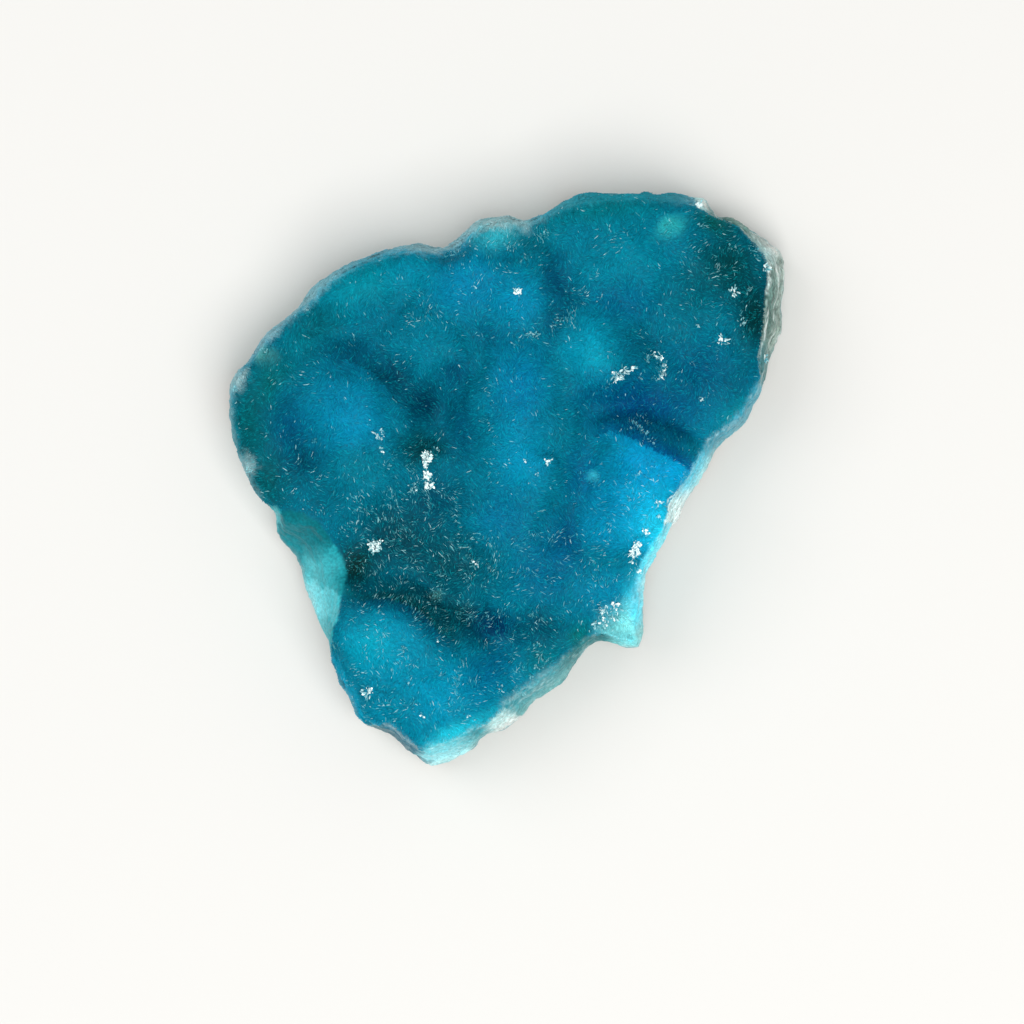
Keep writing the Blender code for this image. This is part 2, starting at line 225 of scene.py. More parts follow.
def break_share(points, normals):
    """1 on the broken sides and the back, 0 on the grown crust, with where each point lies
    across and along the break, in millimetres, and the break's width, colours and strengths."""
    place, kept = nearest_run(BREAK_RUNS, points)
    widths = place[:, 0] / kept[:, WIDTH]
    ragged = widths + RAG_DEPTH * fractal(points, RAG_SIZE, 2, 4.4) / kept[:, WIDTH]
    soft = SOFT_EDGE * kept[:, GLOW]
    from_above = smooth_step(0, 1, (1 + CRISP_EDGE / 2 + soft - ragged) / (CRISP_EDGE + 2 * soft))
    below_crust = smooth_step(0.45, 0.15, normals[:, 2]) * smooth_step(2.0, 1.6, widths)
    underneath = smooth_step(-0.15, -0.5, normals[:, 2])
    uneven_height = points[:, 2] + 0.7 * fractal(points, 2.0, 2, 1.2)
    foot = smooth_step(BREAK_FOOT + 0.6, BREAK_FOOT - 0.6, uneven_height)
    return np.maximum.reduce([from_above, below_crust, underneath, foot]), place, kept


# The thin growth edge, where light comes through and the crust is paler: x, y, how wide that
# shows from above, how strong it is, and how blue, from frosty at 0 to teal at 1.
PALE_EDGE = [
    [
        (-22.7, -1.8, 0.5, 0.25, 0), (-23.7, -0.4, 0.6, 0.3, 0), (-24.3, 1.0, 1.5, 0.85, 0),
        (-25.0, 2.4, 0.6, 0.3, 0), (-25.6, 5.0, 0.7, 0.4, 0), (-25.8, 8.0, 1.0, 0.55, 0),
        (-25.3, 9.3, 1.7, 0.9, 0), (-24.7, 10.6, 0.9, 0.6, 0),
        (-22.7, 12.8, 1.0, 0.65, 0), (-20.9, 14.7, 1.0, 0.7, 0), (-19.0, 16.2, 1.0, 0.7, 0),
        (-16.0, 18.8, 1.0, 0.65, 0.2), (-13.5, 20.4, 0.9, 0.5, 0.2), (-11.0, 21.2, 0.9, 0.45, 0.1),
        (-9.4, 21.6, 1.0, 0.7, 0), (-6.7, 21.3, 1.0, 0.75, 0), (-4.7, 21.9, 1.1, 0.7, 0),
        (-3.8, 22.9, 1.2, 0.8, 0), (-2.4, 23.9, 1.6, 0.9, 0), (-0.8, 24.2, 1.7, 1.0, 0),
        (1.5, 23.9, 1.4, 0.85, 0), (2.6, 24.2, 1.1, 0.5, 0.4), (4.0, 25.1, 1.2, 0.6, 0.7),
        (6.1, 26.0, 1.3, 0.7, 0.9), (8.7, 26.4, 1.3, 0.7, 1), (12.2, 26.5, 1.3, 0.7, 1),
        (15.0, 26.2, 1.2, 0.7, 0.9), (17.2, 25.9, 0.9, 0.6, 0.5),
    ],
    [
        (-14.0, -22.1, 0.6, 0.3, 0), (-14.4, -20.7, 0.7, 0.35, 0), (-15.4, -18.6, 0.4, 0.2, 0),
        (-16.2, -16.8, 0.3, 0.2, 0),
    ],
]
# The foot of the bright lump's far side, where the crust runs on in a soft curve: x, y, radius
SOFT_HOLLOW = (13.0, 5.8, 4.6)
SOFT_ROUNDS = 48


def averaged(mesh, values, rounds):
    """The values at the mesh's points, averaged over neighbours this many times."""
    ends = np.empty(len(mesh.edges) * 2, np.int32)
    mesh.edges.foreach_get("vertices", ends)
    a, b = ends.reshape(-1, 2).T
    size = len(values)
    count = np.bincount(a, minlength=size) + np.bincount(b, minlength=size)
    for _ in range(rounds):
        total = np.stack([
            np.bincount(a, values[b, i], size) + np.bincount(b, values[a, i], size)
            for i in range(3)
        ], axis=1)
        values = total / count[:, None]
    return values


KNOB_HEIGHT = 0.06
FIBRE_HEIGHT = 0.09
FLAKE_HEIGHT = 0.14
FIBRES_UPRIGHT = np.array([1.0, 1.0, 0.25])
FLAKES_LEVEL = np.array([0.5, 0.5, 1.6])
LAND_HEIGHT = 0.05
points = points_of(stone.data)
edge_gap = np.minimum(nearest_run(PALE_EDGE, points)[0][:, 0], nearest_run(BREAK_RUNS, points)[0][:, 0])
from_hollow = np.hypot(points[:, 0] - SOFT_HOLLOW[0], points[:, 1] - SOFT_HOLLOW[1]) / SOFT_HOLLOW[2]
soften = smooth_step(1.0, 0.3, from_hollow) * smooth_step(1.2, 2.6, edge_gap) * (points[:, 2] > 3)
points += soften[:, None] * (averaged(stone.data, points, SOFT_ROUNDS) - points)
set_points(stone.data, points)
normals = normals_of(stone.data)
broken, break_place, _ = break_share(points, normals)
knobs = KNOB_HEIGHT * fractal(points, 0.9, 3, 7.7)
fibres = FIBRE_HEIGHT * fractal(points * FIBRES_UPRIGHT, 0.5, 3, 5.1)
flakes = FLAKE_HEIGHT * fractal(points * FLAKES_LEVEL, 1.2, 2, 9.3)
at_rest = points[:, 2] < LAND_HEIGHT
knobs *= 1 + 1.3 * smooth_step(2.0, 0.3, edge_gap)
relief = knobs * (1 - broken) + (fibres + flakes) * broken
points += normals * np.where(at_rest, 0, relief)[:, None]
points[:, 2] = np.maximum(points[:, 2], 0)
set_points(stone.data, points)
select_only(stone)
bpy.ops.object.shade_smooth()

# The crust's colours, from the left to the right and the far to the near: x, y, reach along
# and across a heading in degrees, how crisp the far side of the heading is, and the colour.
BASE_BLUE = "067893"
TINTS = [
    # Left third: green at the rim, a blue lump in the middle
    (-23.5, 5.0, 8.5, 5.0, 90, 0, "056069"), (-22.0, -0.5, 5.0, 4.0, 90, 0, "055a64"),
    (-19.6, 4.4, 5.0, 3.6, 90, 0, "045a7e"), (-18.1, 1.6, 4.0, 3.4, 0, 0, "044d67"),
    (-14.6, 6.2, 6.4, 5.6, 90, 0, "0884aa"), (-14.0, 4.6, 3.6, 3.0, 0, 0, "0a8eb6"),
    (-13.6, 0.8, 4.6, 3.6, 0, 0, "087c94"), (-16.6, -1.6, 4.2, 3.4, 0, 0, "066a82"),
    (-21.4, 9.4, 3.6, 2.6, 50, 0, "08696f"), (-18.4, 13.2, 6.0, 3.4, 45, 0, "077f92"),
    (-13.0, 18.0, 8.0, 3.6, 20, 0, "068ea2"), (-17.2, 14.6, 3.4, 2.6, 30, 0, "056576"),
    # The hollows between the left lump and the ridge
    (-14.0, 11.3, 5.2, 2.8, 0, 0, "045d7b"), (-10.2, 9.4, 3.6, 3.0, 130, 0, "034660"),
    (-7.5, 6.9, 3.2, 3.6, 90, 0, "013e59"), (-7.6, 2.8, 3.0, 4.0, 90, 0, "064650"),
    (-4.6, 9.6, 2.6, 2.6, 0, 0, "045a7a"), (-4.2, 4.6, 2.4, 5.0, 0, 0, "055f7e"),
    # The far side
    (-7.1, 12.8, 4.4, 3.8, 0, 0, "067b96"), (-9.0, 18.6, 4.0, 3.4, 0, 0, "068aa6"),
    (-3.2, 17.6, 5.6, 4.8, 20, 0, "0887b0"), (1.2, 15.8, 4.0, 3.6, 0, 0, "0a8cb4"),
    (-1.6, 13.2, 3.0, 2.2, 0, 0, "046888"),
    (-0.8, 22.4, 4.2, 2.2, 10, 0, "48c2d4"), (-0.6, 23.6, 3.6, 1.4, 5, 0, "8fd0d8"),
    (4.7, 18.0, 2.8, 4.2, 0, 0, "065677"), (4.4, 14.4, 2.4, 3.0, 0, 0, "04607e"),
    (3.6, 22.4, 4.0, 2.6, 20, 0, "057c92"), (9.0, 24.6, 9.0, 2.6, 5, 0, "07808e"),
    (10.5, 20.4, 6.6, 4.6, 10, 0, "05849e"), (10.4, 16.0, 6.0, 3.0, 0, 0, "056d92"),
    (14.9, 22.9, 2.6, 1.4, 28, 0, "3cb4ba"),
    (7.5, 12.0, 4.0, 4.4, 0, 0, "0795b4"), (8.4, 10.8, 2.6, 2.6, 0, 0, "0aa0bc"),
    # The right side: navy above the bright lump, dark green at the far corner
    (12.6, 12.0, 4.6, 3.4, 0, 0, "046682"), (12.2, 6.8, 8.8, 4.3, 175, 0, "035488"),
    (15.8, 4.4, 2.6, 1.5, 150, 0, "035c82"),
    (17.0, 16.4, 4.6, 4.6, 0, 0, "036a80"), (17.8, 9.8, 5.0, 4.6, 0, 0, "035a7e"),
    (21.6, 8.6, 3.2, 4.2, 0, 0, "03617c"), (21.2, 5.8, 4.0, 2.2, 50, 0, "08808f"),
    (20.4, 19.6, 5.6, 6.0, 0, 0, "04474e"), (22.8, 15.0, 3.4, 6.4, 0, 0, "02373b"),
    (19.0, 23.6, 3.6, 2.0, 160, 0, "0b5656"),
    # The ridge down the middle
    (1.2, 8.4, 7.0, 4.2, 90, 0, "067faa"), (1.4, 1.8, 5.2, 4.6, 90, 0, "0a92b8"),
    (0.0, -3.4, 4.2, 4.4, 90, 0, "08769c"), (3.4, -8.0, 5.4, 4.4, 90, 0, "046c92"),
    (5.6, -5.4, 3.0, 4.6, 10, 0, "055f8c"), (7.0, 0.0, 2.4, 5.0, 0, 0, "036690"),
    # The sunken middle left
    (-9.6, -5.4, 7.6, 6.0, 0, 0, "044555"), (-5.0, -8.0, 6.0, 5.0, 0, 0, "084b5a"),
    (-6.6, -1.8, 4.6, 3.4, 0, 0, "034e66"), (-13.8, -8.0, 3.4, 3.4, 0, 0, "0c3637"),
    (-4.2, -12.4, 5.4, 2.8, 160, 0, "084654"), (-1.0, -13.6, 3.8, 3.0, 0, 0, "033860"),
    (2.9, -13.6, 3.6, 3.0, 0, 0, "044f66"),
    # The lumps at the near end
    (-10.6, -16.2, 7.4, 5.6, 66, 0.7, "0995b6"), (-12.4, -15.2, 3.6, 3.4, 0, 0, "0ca6c2"),
    (-14.5, -10.0, 1.7, 0.7, 125, 0, "168494"),
    (-6.0, -19.6, 5.4, 5.0, 30, 0.5, "0896ba"), (-1.6, -17.6, 2.8, 4.4, 150, 0, "056f96"),
    (-11.6, -20.0, 3.4, 3.2, 0, 0, "0782a0"), (3.4, -16.6, 4.2, 2.4, 35, 0, "056675"),
    (-4.0, -23.2, 6.4, 1.8, 25, 0, "2cc0d6"),
    # The bright lump at the right
    (12.2, -2.2, 6.0, 7.0, 66, 0.8, "079bce"), (13.4, -3.6, 4.6, 4.6, 90, 0.2, "18bfe8"),
    (14.4, -4.4, 3.6, 2.8, 70, 0, "2accec"), (8.8, -4.6, 3.0, 3.0, 0, 0, "0a94be"),
    (8.6, -10.2, 4.2, 4.0, 0, 0, "0786aa"), (11.6, -11.6, 1.8, 4.4, 0, 0, "3cc4dc"),
    (11.1, -13.4, 3.5, 3.2, 0, 0, "b4f4f4"), (6.6, -14.2, 2.6, 1.6, 20, 0, "066a6e"),
    # Pale patches at the left edge
    (-22.1, 11.3, 1.5, 1.4, 30, 0, "5f9c9e"), (-6.4, -10.7, 0.9, 0.6, 30, 0, "5f8f8f"),
    (7.8, 0.0, 0.9, 0.8, 0, 0, "49c2dc"),
]
# The colours are listed as they look under the lights; the crust's own are deeper by this much.
CRUST_DEPTH = np.array([0.45, 0.74, 0.75])
EDGE_FROST = "a6cace"
EDGE_TEAL = "2799a8"
WANDER = 0.55
WANDER_SIZE = 2.2
HOLLOW_PAINTED_SHADE = 0.15
# How strongly painted light lightens the steep slopes near the thin edges, standing in for light through the
# thin crust
EDGE_PAINTED_LIGHT = 1.2
# How strongly painted light lightens the crust beside a glowing break
BREAK_GLOW = 0.30
# Crests where a lump breaks off sharply on its far side, from left to right: x, y, how far the
# colours beside it reach, and how strong they are; then the colours before and beyond it
CRESTS = [
    ([(6.6, 1.8, 1.4, 0.0), (7.8, 3.6, 1.8, 0.2), (9.5, 4.4, 2.0, 0.55), (11.6, 3.5, 2.2, 0.9),
      (13.4, 2.6, 2.2, 1.0), (15.2, 1.7, 2.0, 1.0), (16.6, 0.8, 1.6, 0.9)], "0899ca", "045e94"),
    ([(-14.6, -10.4, 1.0, 0.0), (-13.4, -11.1, 1.4, 0.7), (-11.0, -10.9, 2.2, 0.95), (-9.0, -11.4, 2.8, 1.0),
      (-7.5, -12.4, 2.8, 1.0), (-6.5, -13.6, 2.4, 0.9), (-5.2, -14.7, 1.8, 0.6), (-4.0, -15.8, 1.2, 0.0)],
     "034b67", "0a424a"),
    ([(-16.9, 10.0, 1.2, 0.0), (-14.6, 10.8, 1.4, 0.3), (-12.4, 9.8, 1.4, 0.35), (-10.6, 7.8, 1.4, 0.3),
      (-9.8, 5.8, 1.2, 0.0)], "0680a4", "044e68"),
    ([(3.0, 9.2, 1.0, 0.0), (4.2, 11.6, 1.2, 0.4), (5.2, 14.2, 1.2, 0.4), (6.6, 15.6, 1.2, 0.3),
      (8.6, 15.8, 1.2, 0.0)], "067f9c", "04587a"),
]


def crust_tint(points, normals, hollow):
    """The grown crust's colour at each point, with painted shade where it is sunk below its surroundings and
    painted light on steep slopes near the edges and beside glowing breaks.
    """
    x = points[:, 0] + WANDER * fractal(points, WANDER_SIZE, 2, 3.3)
    y = points[:, 1] + WANDER * fractal(points, WANDER_SIZE, 2, 6.1)
    tint = np.tile(linear(BASE_BLUE), (len(points), 1))
    for tint_x, tint_y, reach, across_reach, heading, crisp, colour in TINTS:
        turn = math.radians(heading)
        along = ((x - tint_x) * math.cos(turn) + (y - tint_y) * math.sin(turn)) / reach
        across = ((y - tint_y) * math.cos(turn) - (x - tint_x) * math.sin(turn)) / across_reach
        distance = np.hypot(along, across)
        ahead = crisp * smooth_step(0.2, 0.6, along)
        share = smooth_step(1.0, 0.75 * ahead, distance)
        tint += share[:, None] * (linear(colour) - tint)
    for run, before, beyond in CRESTS:
        place, kept = nearest_run([run], points)
        from_crest = place[:, 0] / kept[:, WIDTH]
        share = kept[:, 1] * smooth_step(1.0, 0.0, from_crest) * (from_crest < 1)
        for side, colour in ((-1, before), (1, beyond)):
            there = share * (place[:, 2] == side)
            tint += there[:, None] * (linear(colour) - tint)
    # Painted shade: the crust is darkened in colour where it is sunk below its surroundings
    deep = np.clip(hollow, -0.4, 1.0)
    place, kept = nearest_run(PALE_EDGE, points)
    near_edge = smooth_step(1.8, 0.4, np.minimum(place[:, 0], edge_gap))
    # Painted light: near the thin edges the steep slopes are lightened in colour, lifting them out of their
    # shade as light through the thin crust would
    through = EDGE_PAINTED_LIGHT * near_edge * smooth_step(0.85, 0.3, normals[:, 2])
    # Painted light: beside the breaks that glow, the crust is lightened in colour
    glow = BREAK_GLOW * break_kept[:, GLOW] * smooth_step(3.2, 1.0, break_widths)
    tint *= CRUST_DEPTH * ((1 - HOLLOW_PAINTED_SHADE * deep) * (1 + through) * (1 + glow))[:, None]
    across = place[:, 0] / kept[:, WIDTH] + 0.35 * fractal(points, 0.7, 3, 7.3)
    pale = kept[:, 1] * smooth_step(1.2, 0.2, across)
    edge_tint = linear(EDGE_FROST) + kept[:, 2:] * (linear(EDGE_TEAL) - linear(EDGE_FROST))
    return tint + pale[:, None] * (edge_tint - tint)


def add_colour(mesh, name, colours):
    attribute = mesh.color_attributes.new(name, "FLOAT_COLOR", "POINT")
    rgba = np.ones((len(colours), 4), np.float32)
    rgba[:, :3] = colours
    attribute.data.foreach_set("color", rgba.ravel())


def add_share(mesh, name, values):
    attribute = mesh.attributes.new(name, "FLOAT", "POINT")
    attribute.data.foreach_set("value", values.astype(np.float32))


HOLLOW_ROUNDS = 64
LEVEL_ROUNDS = 11
DRIFT = 1.8
GRAIN_SIZE = 0.42
GRAIN_WHITE = 0.22
GRAIN_DARK = 0.16
GROWN_DEPTH = 0.9
BACK_PALE = "8fb6b4"
BACK_TAN = "8a7c66"
LIP_WHITE = "dcefec"
WALL_PALE = "9cc4c6"
WALL_DEEP = "5c9aa4"
points = points_of(stone.data)
normals = normals_of(stone.data)
broken, break_place, break_kept = break_share(points, normals)
edge_gap = break_place[:, 0]
break_widths = edge_gap / break_kept[:, WIDTH]
# Down the sides the colours wander along the break, so that none runs straight down
drift = DRIFT * smooth_step(7.5, 4.0, points[:, 2])[:, None] * np.stack([
    fractal(points, 2.4, 2, 3.9), fractal(points, 2.4, 2, 8.5), np.zeros(len(points))
], axis=1)
wandering = nearest_run(BREAK_RUNS, points + drift)[1]
# How far each point lies below the average of its wider surroundings, in millimetres; it sets the painted
# shade in hollows
hollow = ((averaged(stone.data, points, HOLLOW_ROUNDS) - points) * normals).sum(axis=1)
calm_normals = averaged(stone.data, normals, LEVEL_ROUNDS)
calm_normals /= np.linalg.norm(calm_normals, axis=1)[:, None]
grown_tint = crust_tint(points, normals, hollow)
away = smooth_step(2.2, 4.0, break_widths)
back = linear(BACK_PALE) + smooth_step(0.0, 0.5, fractal(points, 5.0, 3, 2.9))[:, None] * (
    linear(BACK_TAN) - linear(BACK_PALE)
)
inward = np.clip(break_widths, 0, 1)[:, None]
break_tint = wandering[:, FOOT] + inward**0.7 * (wandering[:, TOP] - wandering[:, FOOT])
lip = smooth_step(0.72, 0.9, inward[:, 0]) * break_kept[:, LIP]
lip *= smooth_step(-0.5, 0.3, fractal(points, 0.6, 2, 5.5))
break_tint += lip[:, None] * (linear(LIP_WHITE) - break_tint)
# Sugary grains in patches of the break, not in the scar, and a plain colour low on the sides
grains = fractal(points, GRAIN_SIZE, 2, 6.6) * smooth_step(0, 0.1, break_kept[:, LIP])
grains *= 0.35 + 0.65 * smooth_step(-0.1, 0.35, fractal(points, 1.8, 2, 4.9))
break_tint += (GRAIN_WHITE * smooth_step(0.05, 0.5, grains))[:, None] * (linear(LIP_WHITE) - break_tint)
break_tint *= (1 - GRAIN_DARK * smooth_step(0.05, 0.5, -grains))[:, None]
low = smooth_step(4.2, 1.8, points[:, 2] + 0.9 * fractal(points, 2.6, 2, 8.1))
wall = linear(WALL_PALE) + smooth_step(-0.4, 0.4, fractal(points, 3.4, 3, 1.7))[:, None] * (
    linear(WALL_DEEP) - linear(WALL_PALE)
)
break_tint += (0.85 * low)[:, None] * (wall - break_tint)
grown_tint += (0.6 * low)[:, None] * (wall - grown_tint)
break_tint += np.maximum(away, smooth_step(-0.3, -0.8, normals[:, 2]))[:, None] * (back - break_tint)
grown_tint += (broken * break_kept[:, GLOW])[:, None] * (break_tint - grown_tint)
stone_tint = GROWN_DEPTH * grown_tint + broken[:, None] * (break_tint - GROWN_DEPTH * grown_tint)
add_colour(stone.data, "tint", stone_tint)
add_share(stone.data, "broken", broken)
layering = break_kept[:, LAYERING] * (1 - away) * smooth_step(-0.8, -0.3, normals[:, 2])
add_share(stone.data, "layering", layering)
across_along_up = np.stack([break_place[:, 0], break_place[:, 1], points[:, 2]], axis=1)
place_attribute = stone.data.attributes.new("break_place", "FLOAT_VECTOR", "POINT")
place_attribute.data.foreach_set("vector", across_along_up.astype(np.float32).ravel())


def new_group(name, inputs, outputs):
    """An empty node group with these number inputs, and its two ends."""
    group = bpy.data.node_groups.new(name, "ShaderNodeTree")
    for label, value in inputs:
        socket = group.interface.new_socket(label, in_out="INPUT", socket_type="NodeSocketFloat")
        socket.default_value = value
    for label, kind in outputs:
        group.interface.new_socket(label, in_out="OUTPUT", socket_type=kind)
    start = group.nodes.new("NodeGroupInput")
    end = group.nodes.new("NodeGroupOutput")
    return group, start, end


def add_node(tree, kind, inputs=(), **settings):
    node = tree.nodes.new(kind)
    for setting, value in settings.items():
        setattr(node, setting, value)
    for name, value in dict(inputs).items():
        node.inputs[name].default_value = value
    return node


def cloudy_crystal():
    """Milky growth zones in the crystal: a share from 0 to 1 that wanders over the surface."""
    group, start, end = new_group(
        "cloudy crystal", [("Scale", 900.0), ("Contrast", 1.0)], [("Cloud", "NodeSocketFloat")]
    )
    place = add_node(group, "ShaderNodeTexCoord")
    clouds = add_node(group, "ShaderNodeTexNoise", {"Detail": 4.0, "Roughness": 0.62})
    levels = add_node(group, "ShaderNodeMath", {1: 0.5}, operation="SUBTRACT")
    spread = add_node(group, "ShaderNodeMath", operation="MULTIPLY")
    middle = add_node(group, "ShaderNodeMath", {1: 0.5}, operation="ADD", use_clamp=True)
    group.links.new(place.outputs["Object"], clouds.inputs["Vector"])
    group.links.new(start.outputs["Scale"], clouds.inputs["Scale"])
    group.links.new(clouds.outputs["Fac"], levels.inputs[0])
    group.links.new(levels.outputs[0], spread.inputs[0])
    group.links.new(start.outputs["Contrast"], spread.inputs[1])
    group.links.new(spread.outputs[0], middle.inputs[0])
    group.links.new(middle.outputs[0], end.inputs["Cloud"])
    return group


def broken_layers():
    """The inside of the crust where it is broken: thin growth layers that follow the edge, and
    milky veins between them."""
    group, start, end = new_group(
        "broken layers",
        [("Layers Per Millimetre", 5.0), ("Run", 0.22)],
        [("Height", "NodeSocketFloat"), ("Layers", "NodeSocketFloat"), ("Veins", "NodeSocketFloat")],
    )
    place = add_node(group, "ShaderNodeAttribute", attribute_name="break_place")
    squeeze = add_node(group, "ShaderNodeCombineXYZ", {"X": 1.0, "Z": 1.0})
    stretched = add_node(group, "ShaderNodeVectorMath", operation="MULTIPLY")
    layers = add_node(group, "ShaderNodeTexNoise", {"Detail": 3.0, "Roughness": 0.65, "Distortion": 0.5})
    veins = add_node(group, "ShaderNodeTexNoise", {"Scale": 1.3, "Detail": 4.0, "Roughness": 0.7})
    bright = add_node(group, "ShaderNodeMapRange", {"From Min": 0.54, "From Max": 0.68})
    group.links.new(start.outputs["Run"], squeeze.inputs["Y"])
    group.links.new(place.outputs["Vector"], stretched.inputs[0])
    group.links.new(squeeze.outputs[0], stretched.inputs[1])
    group.links.new(stretched.outputs[0], layers.inputs["Vector"])
    group.links.new(start.outputs["Layers Per Millimetre"], layers.inputs["Scale"])
    group.links.new(stretched.outputs[0], veins.inputs["Vector"])
    group.links.new(veins.outputs["Fac"], bright.inputs["Value"])
    group.links.new(layers.outputs["Fac"], end.inputs["Height"])
    group.links.new(layers.outputs["Fac"], end.inputs["Layers"])
    group.links.new(bright.outputs["Result"], end.inputs["Veins"])
    return group


CLOUDS = cloudy_crystal()
LAYERS = broken_layers()


def add_group(tree, group, **inputs):
    node = tree.nodes.new("ShaderNodeGroup")
    node.node_tree = group
    for name, value in inputs.items():
        node.inputs[name.replace("_", " ")].default_value = value
    return node


def new_material(name):
    material = bpy.data.materials.new(name)
    material.use_nodes = True
    return material, material.node_tree, material.node_tree.nodes["Principled BSDF"]


def scaled_colour(tree, colour, low, high, share):
    """The colour times a factor that runs from low to high with the share."""
    factor = add_node(tree, "ShaderNodeMapRange", {"To Min": low, "To Max": high})
    scale = add_node(tree, "ShaderNodeVectorMath", operation="SCALE")
    tree.links.new(share, factor.inputs["Value"])
    tree.links.new(colour, scale.inputs[0])
    tree.links.new(factor.outputs["Result"], scale.inputs["Scale"])
    return scale.outputs[0]


def stone_material():
    material, tree, shader = new_material("blue hemimorphite crust and break")
    tint = add_node(tree, "ShaderNodeAttribute", attribute_name="tint")
    mask = add_node(tree, "ShaderNodeAttribute", attribute_name="broken")
    layering = add_node(tree, "ShaderNodeAttribute", attribute_name="layering")
    clouds = add_group(tree, CLOUDS, Scale=1300.0, Contrast=1.6)
    layers = add_group(tree, LAYERS)
    grains = add_group(tree, CLOUDS, Scale=3800.0, Contrast=2.6)
    grainy = scaled_colour(tree, tint.outputs["Color"], 0.72, 1.28, grains.outputs["Cloud"])
    cloudy = scaled_colour(tree, grainy, 0.85, 1.15, clouds.outputs["Cloud"])
    layered = scaled_colour(tree, cloudy, -0.7, 2.7, layers.outputs["Layers"])
    vein_share = add_node(tree, "ShaderNodeMath", operation="MULTIPLY")
    strength = add_node(tree, "ShaderNodeMath", operation="MULTIPLY")
    part_layered = add_node(tree, "ShaderNodeMix", data_type="RGBA")
    veined = add_node(tree, "ShaderNodeMix", data_type="RGBA")
    veined.inputs["B"].default_value = (0.74, 0.84, 0.82, 1.0)
    bump = add_node(tree, "ShaderNodeBump", {"Strength": 0.5, "Distance": 0.0002})
    tree.links.new(mask.outputs["Fac"], strength.inputs[0])
    tree.links.new(layering.outputs["Fac"], strength.inputs[1])
    tree.links.new(strength.outputs[0], part_layered.inputs["Factor"])
    tree.links.new(cloudy, part_layered.inputs["A"])
    tree.links.new(layered, part_layered.inputs["B"])
    tree.links.new(strength.outputs[0], vein_share.inputs[0])
    tree.links.new(layers.outputs["Veins"], vein_share.inputs[1])
    tree.links.new(vein_share.outputs[0], veined.inputs["Factor"])
    tree.links.new(part_layered.outputs["Result"], veined.inputs["A"])
    tree.links.new(veined.outputs["Result"], shader.inputs["Base Color"])
    tree.links.new(layers.outputs["Height"], bump.inputs["Height"])
    tree.links.new(strength.outputs[0], bump.inputs["Strength"])
    tree.links.new(bump.outputs["Normal"], shader.inputs["Normal"])
    shader.inputs["Roughness"].default_value = 0.42
    shader.inputs["Specular IOR Level"].default_value = 0.06
    shader.inputs["Subsurface Weight"].default_value = 0.25
    shader.inputs["Subsurface Radius"].default_value = (0.4, 0.9, 1.0)
    shader.inputs["Subsurface Scale"].default_value = 0.0008
    return material


stone.data.materials.append(stone_material())
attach(stone, "root")
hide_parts("hemimorphite_plate")

# The druse
# Crystal needles lie like a felt all over the grown crust, and fan down the sides of each lump.
# Each one's keel is sunk in the skin, which holds it; they are joined in six fields.

NEEDLE_SEED = 23
NEEDLE_COUNT = 190000
NEEDLE_CORNERS = np.array([(-1, 0, 1), (1, 0, 1), (0, -1, -1), (0, 1, -1)], float)
NEEDLE_FACES = np.array([(0, 2, 1), (0, 1, 3), (1, 2, 3), (2, 0, 3)])
NEEDLE_LENGTH = (0.28, 0.66)
NEEDLE_WIDTH = (0.13, 0.22)
NEEDLE_RISE = (0.02, 0.07)
NEEDLE_SINK = 0.05
NEEDLE_LEAN = 0.10
SWIRL_SIZE = 3.0
# Pale blue and white: the painted glints on the needles, and the clear crystals' own colour
GLINT_AND_CRYSTAL_PALE_BLUE = "3cccd8"
GLINT_AND_CRYSTAL_WHITE = "ecfcfb"
SHEEN = "00b4c0"
# Where needles painted pale as glints are many: x, y, radius, and their share among all there
GLINT_ZONES = [
    (-9.8, -5.4, 8.0, 0.075), (-4.5, -9.0, 6.5, 0.085), (0.6, -12.6, 5.0, 0.050),
    (20.4, 18.6, 6.0, 0.045), (-1.5, 19.5, 5.0, 0.030), (9.4, -8.6, 5.0, 0.055), (12.8, -3.0, 5.0, 0.055),
    (-19.0, -2.0, 5.0, 0.022), (-0.6, 23.0, 3.0, 0.070), (2.4, -18.0, 4.0, 0.060),
    (-11.0, -19.0, 5.0, 0.050),
    (-8.4, 1.6, 4.0, 0.030), (-8.0, 15.6, 1.9, 0.12), (-6.3, 14.9, 1.2, 0.08), (3.3, 22.2, 1.5, 0.09),
    (0.1, 21.1, 1.0, 0.10), (4.9, 14.4, 1.5, 0.10), (1.6, 13.3, 1.6, 0.08), (6.4, 16.6, 1.4, 0.05),
    (-4.6, 20.6, 1.2, 0.07), (-10.6, 18.4, 1.2, 0.05), (-14.6, 12.6, 1.2, 0.05), (10.2, 21.6, 1.6, 0.05),
    (14.6, 22.9, 0.9, 0.30), (-1.0, 8.6, 1.6, 0.06), (-1.4, 5.6, 1.4, 0.05), (12.4, 4.6, 1.6, 0.08),
    (13.6, 10.4, 1.3, 0.12), (19.8, 12.6, 1.2, 0.10), (8.8, -12.4, 2.0, 0.10), (-4.8, -17.4, 1.6, 0.08),
    (-11.6, -14.4, 4.0, 0.060), (-13.4, -12.2, 1.2, 0.09), (-5.6, -20.0, 4.0, 0.060),
    (-20.6, 10.0, 2.4, 0.03), (1.4, 2.0, 4.0, 0.020), (3.4, -6.4, 4.0, 0.045),
]
FEW_GLINTS = 0.009
GLINT_LENGTH_SHARE = (0.35, 1.1)
GLINT_WIDTH_SHARE = (0.3, 0.6)
GLINT_RISE = 0.03
NEEDLE_HEADING = 0.30
NEEDLE_TURN = 0.5
LIGHTNESS_SPREAD = 0.13
SHEEN_CHANCE = 0.2
SHEEN_SHARE = (0.04, 0.30)


